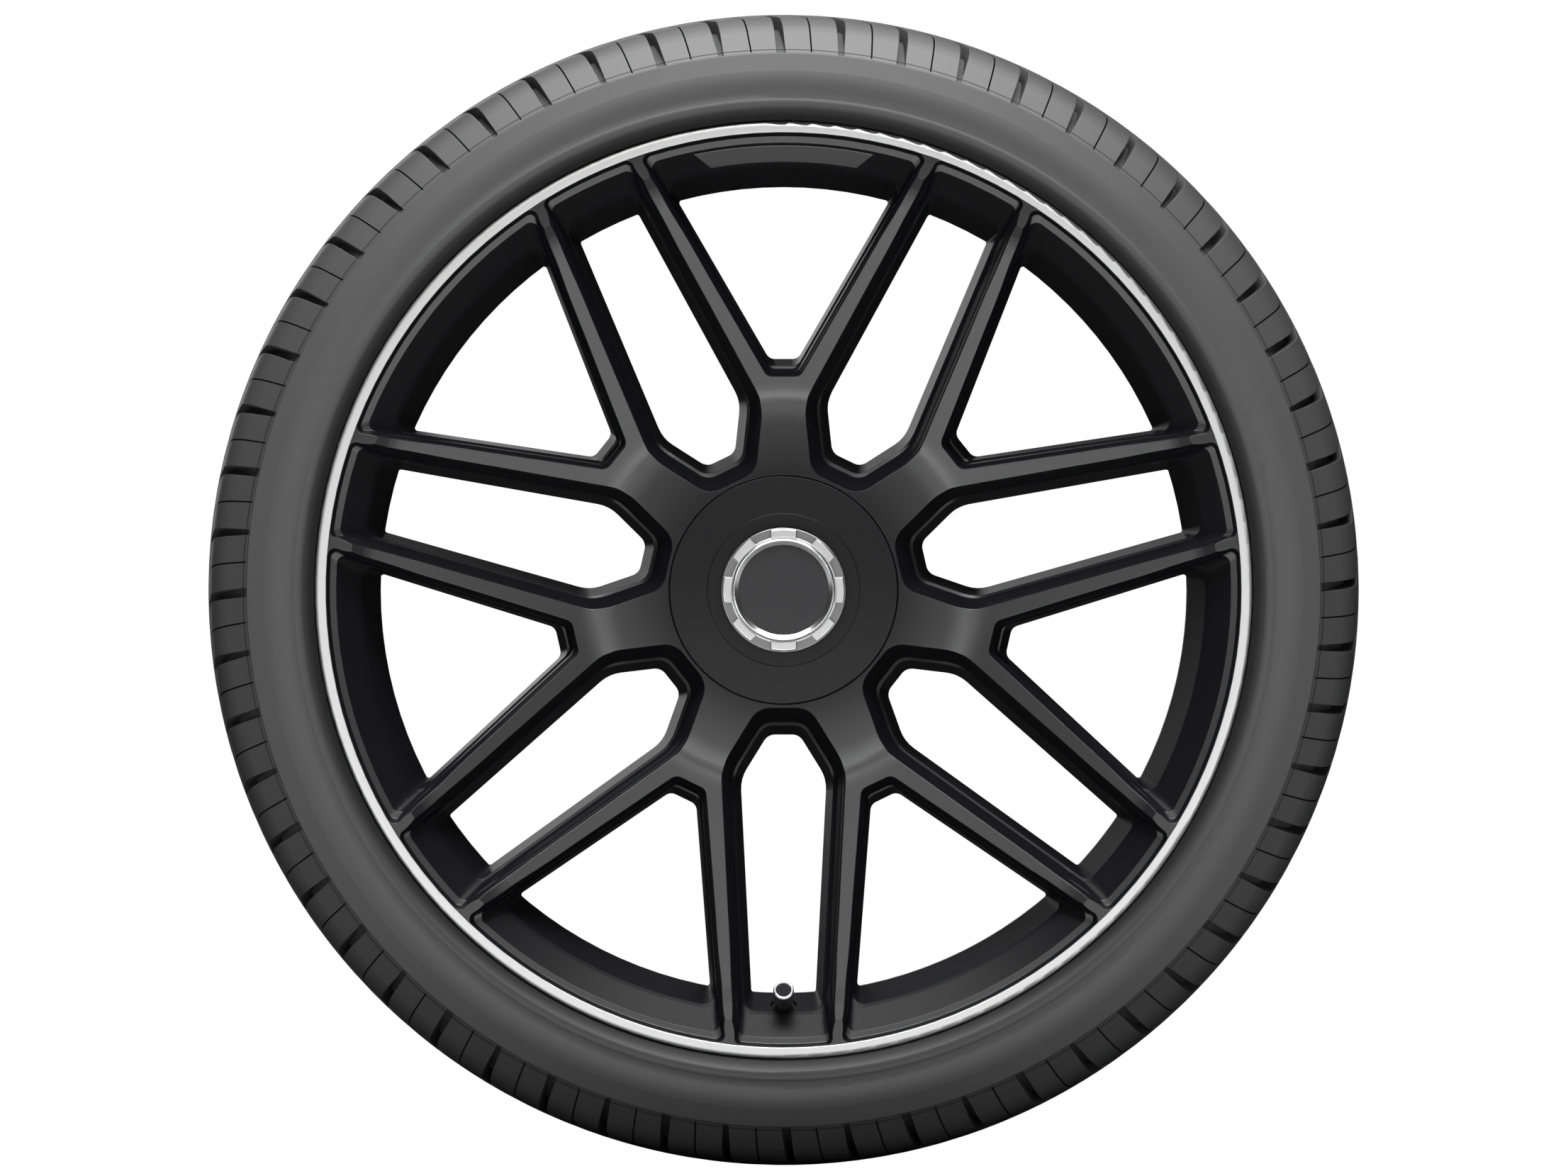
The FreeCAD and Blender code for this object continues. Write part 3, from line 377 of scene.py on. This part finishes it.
def pad():
    """Four-sided plate with sloped edges, bent to the floor's cone."""
    run = (FLOOR_INNER[0] - FLOOR_OUTER[0], FLOOR_INNER[1] - FLOOR_OUTER[1])
    size = math.hypot(*run)
    normal = (run[1] / size, -run[0] / size)
    columns = 40
    vertices = []
    faces = []
    rows = ((0.0, 0.0, -0.0002), (0.0, 0.0, PAD_RISE - 0.0002), (PAD_EDGE, 0.1, PAD_RISE))
    rows += ((-PAD_EDGE, 0.1, PAD_RISE), (0.0, 0.0, PAD_RISE - 0.0002), (0.0, 0.0, -0.0002))
    for index, (step, trim, rise) in enumerate(rows):
        share = PAD_SPAN[0] if index < 3 else PAD_SPAN[1]
        angle = PAD_ANGLES[0] if index < 3 else PAD_ANGLES[1]
        r = FLOOR_OUTER[0] + run[0] * share + run[0] / size * step + normal[0] * rise
        out = FLOOR_OUTER[1] + run[1] * share + run[1] / size * step + normal[1] * rise
        for column in range(columns + 1):
            turn = math.radians((angle - trim) * (2 * column / columns - 1))
            vertices.append((r * math.sin(turn), -out, r * math.cos(turn)))
    stride = columns + 1
    for row in range(len(rows) - 1):
        for column in range(columns):
            a = row * stride + column
            faces.append((a, a + 1, a + 1 + stride, a + stride))
    for column in (0, columns):
        faces.append(tuple(row * stride + column for row in range(len(rows))))
    return mesh_object("rim_pad", vertices, faces, finishes["pad_paint"], smooth=False)


rim_pad = pad()
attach(rim_pad, "wheel")


# Stage: a wide floor, white to the camera; its bounce colour is pale in front of the wheel and near
# black behind it, painted shade that keeps the reflections in the wheel's walls dark
def stage_material():
    material = bpy.data.materials.new("pale_floor")
    material.use_nodes = True
    tree = material.node_tree
    tree.nodes.clear()
    output = tree.nodes.new("ShaderNodeOutputMaterial")
    mix = tree.nodes.new("ShaderNodeMixShader")
    path = tree.nodes.new("ShaderNodeLightPath")
    glow = tree.nodes.new("ShaderNodeEmission")
    glow.inputs["Color"].default_value = (1.0, 1.0, 1.0, 1.0)
    glow.inputs["Strength"].default_value = 1.0
    matt = tree.nodes.new("ShaderNodeBsdfDiffuse")
    place = tree.nodes.new("ShaderNodeNewGeometry")
    split = tree.nodes.new("ShaderNodeSeparateXYZ")
    # Bounce colour from pale in front to near black behind the wheel: painted shade.
    fade = tree.nodes.new("ShaderNodeMapRange")
    fade.interpolation_type = "SMOOTHSTEP"
    fade.inputs["From Min"].default_value = -0.5
    fade.inputs["From Max"].default_value = -0.1
    fade.inputs["To Min"].default_value = 0.8
    fade.inputs["To Max"].default_value = 0.03
    tree.links.new(place.outputs["Position"], split.inputs[0])
    tree.links.new(split.outputs[1], fade.inputs["Value"])
    tree.links.new(fade.outputs["Result"], matt.inputs["Color"])
    tree.links.new(path.outputs["Is Camera Ray"], mix.inputs[0])
    tree.links.new(matt.outputs[0], mix.inputs[1])
    tree.links.new(glow.outputs[0], mix.inputs[2])
    tree.links.new(mix.outputs[0], output.inputs["Surface"])
    return material


floor_z = cad_box[0][2] - 0.0005
floor = mesh_object(
    "floor",
    [(-9, -9, floor_z), (9, -9, floor_z), (9, 9, floor_z), (-9, 9, floor_z)],
    [(0, 1, 2, 3)],
    stage_material(),
    smooth=False,
)

scene = bpy.context.scene
world = bpy.data.worlds.new("studio")
world.use_nodes = True
tree = world.node_tree
tree.nodes.clear()
output = tree.nodes.new("ShaderNodeOutputWorld")
mix = tree.nodes.new("ShaderNodeMixShader")
path = tree.nodes.new("ShaderNodeLightPath")
white = tree.nodes.new("ShaderNodeBackground")
white.inputs["Color"].default_value = (1.0, 1.0, 1.0, 1.0)
white.inputs["Strength"].default_value = 1.0
room = tree.nodes.new("ShaderNodeBackground")
room.inputs["Color"].default_value = (1.0, 1.0, 1.0, 1.0)
room.inputs["Strength"].default_value = 0.03
tree.links.new(path.outputs["Is Camera Ray"], mix.inputs[0])
tree.links.new(room.outputs[0], mix.inputs[1])
tree.links.new(white.outputs[0], mix.inputs[2])
tree.links.new(mix.outputs[0], output.inputs["Surface"])
scene.world = world


def softbox(name, place, aim, size, glow):
    """Rectangular light of an even glow, out of the camera's sight."""
    light = bpy.data.lights.new(name, "AREA")
    light.shape = "RECTANGLE"
    light.size = size[0]
    light.size_y = size[1]
    light.energy = glow * math.pi * size[0] * size[1]
    item = bpy.data.objects.new(name, light)
    scene.collection.objects.link(item)
    item.visible_camera = False
    item.location = place
    away = [aim[i] - place[i] for i in range(3)]
    flat = math.hypot(away[0], away[1])
    item.rotation_euler = (math.atan2(flat, -away[2]), 0.0, math.atan2(away[1], away[0]) - math.pi / 2)
    return item


softbox("key_light", (0.0, -2.9, 1.25), (0.0, 0.0, 0.0), (2.4, 0.6), 5.5)
softbox("floor_glow", (0.0, -1.25, floor_z + 0.01), (0.0, -0.9, 0.8), (2.2, 0.9), 3.6)
softbox("left_light", (-1.9, -2.2, 0.25), (0.0, 0.0, 0.0), (0.6, 1.4), 1.8)
softbox("right_light", (1.9, -2.2, 0.25), (0.0, 0.0, 0.0), (0.6, 1.4), 1.8)
softbox("top_light", (0.0, -0.7, 2.0), (0.0, 0.0, 0.0), (2.2, 1.0), 25.0)
softbox("back_light", (0.0, 1.3, 2.4), (0.0, 0.0, 0.0), (2.0, 1.0), 2.5)
softbox("rear_fill", (-0.9, 2.8, 0.7), (0.0, 0.0, 0.0), (1.8, 1.4), 1.8)

lens = bpy.data.cameras.new("camera")
camera = bpy.data.objects.new("camera", lens)
scene.collection.objects.link(camera)
camera.location = (0.0, -FLANGE_OUT - CAMERA_DISTANCE, 0.0)
camera.rotation_euler = (math.radians(90.0), 0.0, 0.0)
lens.sensor_width = SENSOR
lens.lens = FLANGE_PIXELS * CAMERA_DISTANCE / FLANGE_R * SENSOR / IMAGE_WIDTH
lens.shift_y = SHIFT_PIXELS[1] / IMAGE_WIDTH
lens.shift_x = SHIFT_PIXELS[0] / IMAGE_WIDTH
lens.clip_end = 100.0
scene.camera = camera
scene.view_settings.view_transform = "Standard"
